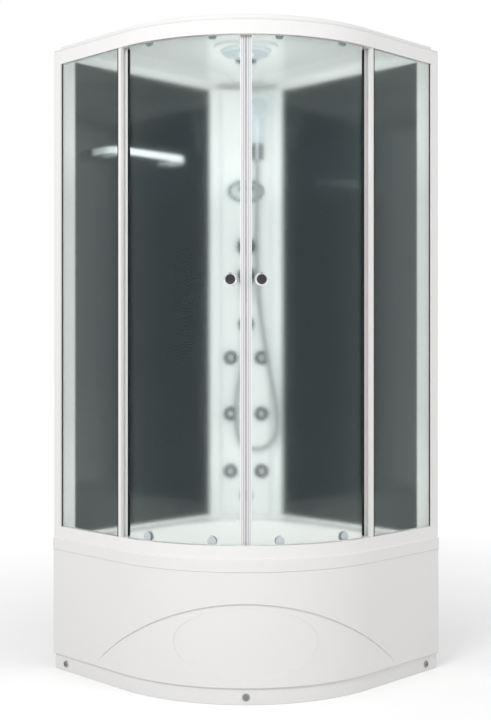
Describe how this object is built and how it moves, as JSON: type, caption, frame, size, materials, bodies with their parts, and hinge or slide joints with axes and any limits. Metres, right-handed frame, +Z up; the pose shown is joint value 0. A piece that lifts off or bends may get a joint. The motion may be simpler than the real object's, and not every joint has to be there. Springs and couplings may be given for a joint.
{
  "type": "steam shower cabin",
  "caption": "Corner steam shower cabin with a deep white tub, curved satin glass sliding doors, dark back walls and a central column with jets and hand shower.",
  "frame": {"origin": "on the floor, under the middle of the cabin's outer box", "axes": "+Z up; the doors face -Y and the room corner is at +Y; +X is to the right for someone facing the doors"},
  "size_m": [1.3436, 1.1054, 2.18],
  "materials": {
    "white_acrylic": "smooth high gloss",
    "pearl_acrylic": "smooth satin gloss",
    "white_profile": "white powder coat, semi gloss",
    "satin_glass": "lightly frosted",
    "dark_panel": "dark mirror gloss",
    "clear_glass": "clear polished",
    "chrome": "polished chrome",
    "seal": "translucent matt vinyl",
    "white_plastic": "fine matt",
    "grey_plastic": "satin",
    "dark_plastic": "matt",
    "zinc_steel": "zinc plated",
    "brass": "machined",
    "steel_sheet": "brushed sheet",
    "hose_skin": "satin grey"
  },
  "bodies": {
    "cabin": {"tub_shell": "white_acrylic", "apron_panel": "white_acrylic", "plinth_strip": "white_acrylic", "plinth_caps": "chrome", "support_frame": "zinc_steel", "levelling_feet": "zinc_steel", "drain_flange": "chrome", "drain_trap": "white_plastic", "bottom_rail": "white_profile", "top_rail": "white_profile", "wall_posts": "white_profile", "left_fixed_glass": "satin_glass", "right_fixed_glass": "satin_glass", "fixed_glass_profiles": "white_profile", "left_back_panel": "dark_panel", "right_back_panel": "dark_panel", "wall_trims": "white_profile", "column_shell": "pearl_acrylic", "roof_shell": "white_acrylic", "rain_shower_head": "chrome", "lamp_lens": "clear_glass", "fan_housing": "dark_plastic", "control_bezel": "chrome", "control_face": "dark_plastic", "mixer_body": "chrome", "hose_outlet": "chrome", "shower_hose": "hose_skin", "handset": "white_plastic", "handset_holder": "chrome", "jet_bodies": "grey_plastic", "steam_outlet": "chrome", "steam_generator": "steel_sheet", "pipe_manifold": "white_plastic", "shelf_glass": "clear_glass", "shelf_rail": "chrome"},
    "left_door": {"left_door_glass": "satin_glass", "left_door_profiles": "white_profile", "left_door_seals": "seal", "left_door_knob": "chrome", "left_door_rollers": "chrome"},
    "left_outer_wheel": {"left_outer_wheel": "white_plastic"},
    "left_inner_wheel": {"left_inner_wheel": "white_plastic"},
    "right_door": {"right_door_glass": "satin_glass", "right_door_profiles": "white_profile", "right_door_seals": "seal", "right_door_knob": "chrome", "right_door_rollers": "chrome"},
    "right_outer_wheel": {"right_outer_wheel": "white_plastic"},
    "right_inner_wheel": {"right_inner_wheel": "white_plastic"},
    "mixer_lever": {"mixer_lever": "chrome"},
    "diverter_knob": {"diverter_knob": "chrome"},
    "fan_rotor": {"fan_rotor": "dark_plastic"},
    "drain_plug": {"drain_plug": "chrome"},
    "jet_nozzle_low_left": {"jet_nozzle_low_left": "chrome"},
    "jet_nozzle_low_right": {"jet_nozzle_low_right": "chrome"},
    "jet_nozzle_mid_left": {"jet_nozzle_mid_left": "chrome"},
    "jet_nozzle_mid_right": {"jet_nozzle_mid_right": "chrome"},
    "jet_nozzle_high_left": {"jet_nozzle_high_left": "chrome"},
    "jet_nozzle_high_right": {"jet_nozzle_high_right": "chrome"}
  },
  "joints": [
    {"name": "left_door_slide", "type": "hinge", "parent": "cabin", "child": "left_door", "pos_m": [0.05093, 0.13949, 0], "axis": [0, 0, -1], "range_deg": [0, 19.4]},
    {"name": "left_outer_wheel_spin", "type": "hinge", "parent": "left_door", "child": "left_outer_wheel", "pos_m": [-0.32681, -0.42748, 2.1203], "axis": [-0.5878, -0.809, 0], "range_deg": [0, 1110]},
    {"name": "left_inner_wheel_spin", "type": "hinge", "parent": "left_door", "child": "left_inner_wheel", "pos_m": [-0.11085, -0.5225, 2.1203], "axis": [-0.1994, -0.9799, 0], "range_deg": [0, 1110]},
    {"name": "right_door_slide", "type": "hinge", "parent": "cabin", "child": "right_door", "pos_m": [-0.05093, 0.13949, 0], "axis": [0, 0, 1], "range_deg": [0, 19.4]},
    {"name": "right_outer_wheel_spin", "type": "hinge", "parent": "right_door", "child": "right_outer_wheel", "pos_m": [0.32681, -0.42748, 2.1203], "axis": [-0.5878, 0.809, 0], "range_deg": [0, 1110]},
    {"name": "right_inner_wheel_spin", "type": "hinge", "parent": "right_door", "child": "right_inner_wheel", "pos_m": [0.11085, -0.5225, 2.1203], "axis": [-0.1994, 0.9799, 0], "range_deg": [0, 1110]},
    {"name": "mixer_lever_turn", "type": "hinge", "parent": "cabin", "child": "mixer_lever", "pos_m": [0, 0.32966, 1.394], "axis": [0, -1, 0], "range_deg": [-45, 45]},
    {"name": "diverter_turn", "type": "hinge", "parent": "cabin", "child": "diverter_knob", "pos_m": [0, 0.32966, 1.509], "axis": [0, -1, 0], "range_deg": [-90, 90]},
    {"name": "fan_spin", "type": "hinge", "parent": "cabin", "child": "fan_rotor", "pos_m": [0, 0.03266, 2.16], "axis": [0, 0, 1], "continuous": true},
    {"name": "drain_plug_lift", "type": "slide", "parent": "cabin", "child": "drain_plug", "axis": [0, 0, 1], "range_m": [0, 0.01]},
    {"name": "jet_low_left_tilt", "type": "hinge", "parent": "cabin", "child": "jet_nozzle_low_left", "pos_m": [-0.06, 0.37167, 0.635], "axis": [1, 0, 0], "range_deg": [-15, 15]},
    {"name": "jet_low_right_tilt", "type": "hinge", "parent": "cabin", "child": "jet_nozzle_low_right", "pos_m": [0.06, 0.37167, 0.635], "axis": [1, 0, 0], "range_deg": [-15, 15]},
    {"name": "jet_mid_left_tilt", "type": "hinge", "parent": "cabin", "child": "jet_nozzle_mid_left", "pos_m": [-0.06, 0.37167, 0.858], "axis": [1, 0, 0], "range_deg": [-15, 15]},
    {"name": "jet_mid_right_tilt", "type": "hinge", "parent": "cabin", "child": "jet_nozzle_mid_right", "pos_m": [0.06, 0.37167, 0.858], "axis": [1, 0, 0], "range_deg": [-15, 15]},
    {"name": "jet_high_left_tilt", "type": "hinge", "parent": "cabin", "child": "jet_nozzle_high_left", "pos_m": [-0.06, 0.37167, 1.076], "axis": [1, 0, 0], "range_deg": [-15, 15]},
    {"name": "jet_high_right_tilt", "type": "hinge", "parent": "cabin", "child": "jet_nozzle_high_right", "pos_m": [0.06, 0.37167, 1.076], "axis": [1, 0, 0], "range_deg": [-15, 15]}
  ],
  "couplings": [
    {"joint": "left_outer_wheel_spin", "follows": "left_door_slide", "ratio": 56.78},
    {"joint": "left_inner_wheel_spin", "follows": "left_door_slide", "ratio": 56.78},
    {"joint": "right_outer_wheel_spin", "follows": "right_door_slide", "ratio": 56.78},
    {"joint": "right_inner_wheel_spin", "follows": "right_door_slide", "ratio": 56.78}
  ]
}
